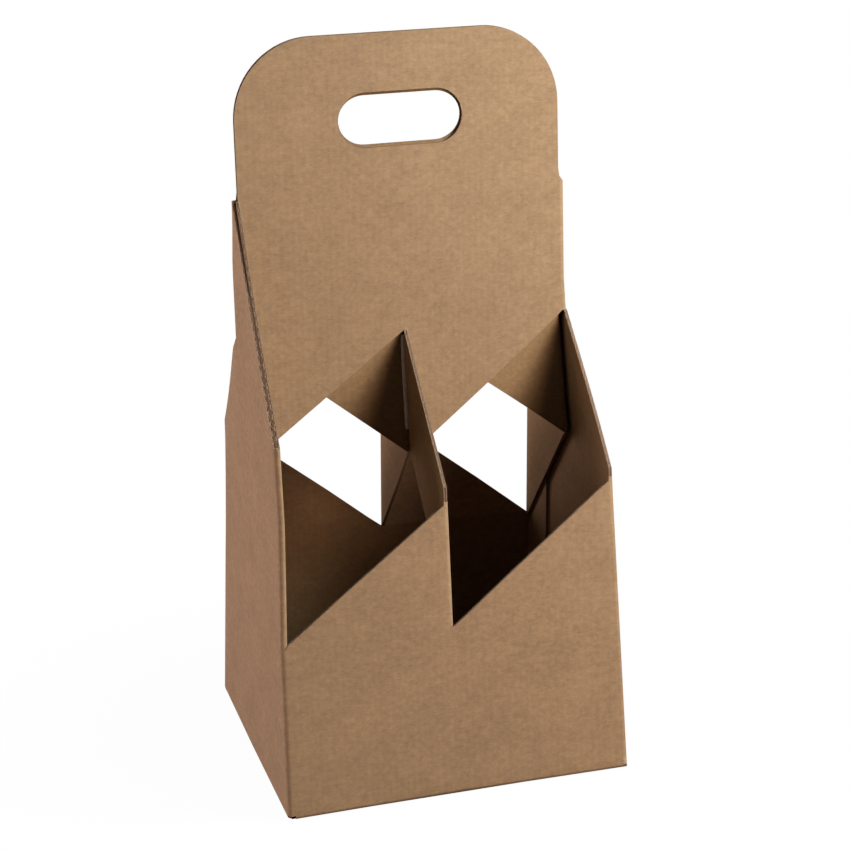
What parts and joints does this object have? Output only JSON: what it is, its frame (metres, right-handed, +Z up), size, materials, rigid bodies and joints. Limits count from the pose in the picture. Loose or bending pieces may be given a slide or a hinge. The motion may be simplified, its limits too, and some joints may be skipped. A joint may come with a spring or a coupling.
{
  "type": "cardboard bottle carrier",
  "caption": "Open carrier for bottles, folded and glued from one blank of brown corrugated card, with slanted dividers and a tall two-ply handle with a hand hole.",
  "frame": {"origin": "on the ground at the middle of the base, with the handle's middle straight above it", "axes": "+Z up along the handle's height, +X to the right along the front wall and the handle, +Y from the front to the back"},
  "size_m": [0.175, 0.16, 0.373],
  "materials": {
    "card": "plain uncoated brown kraft liner on E flute corrugated board"
  },
  "bodies": {
    "root": {"carrier": "card"}
  },
  "joints": []
}
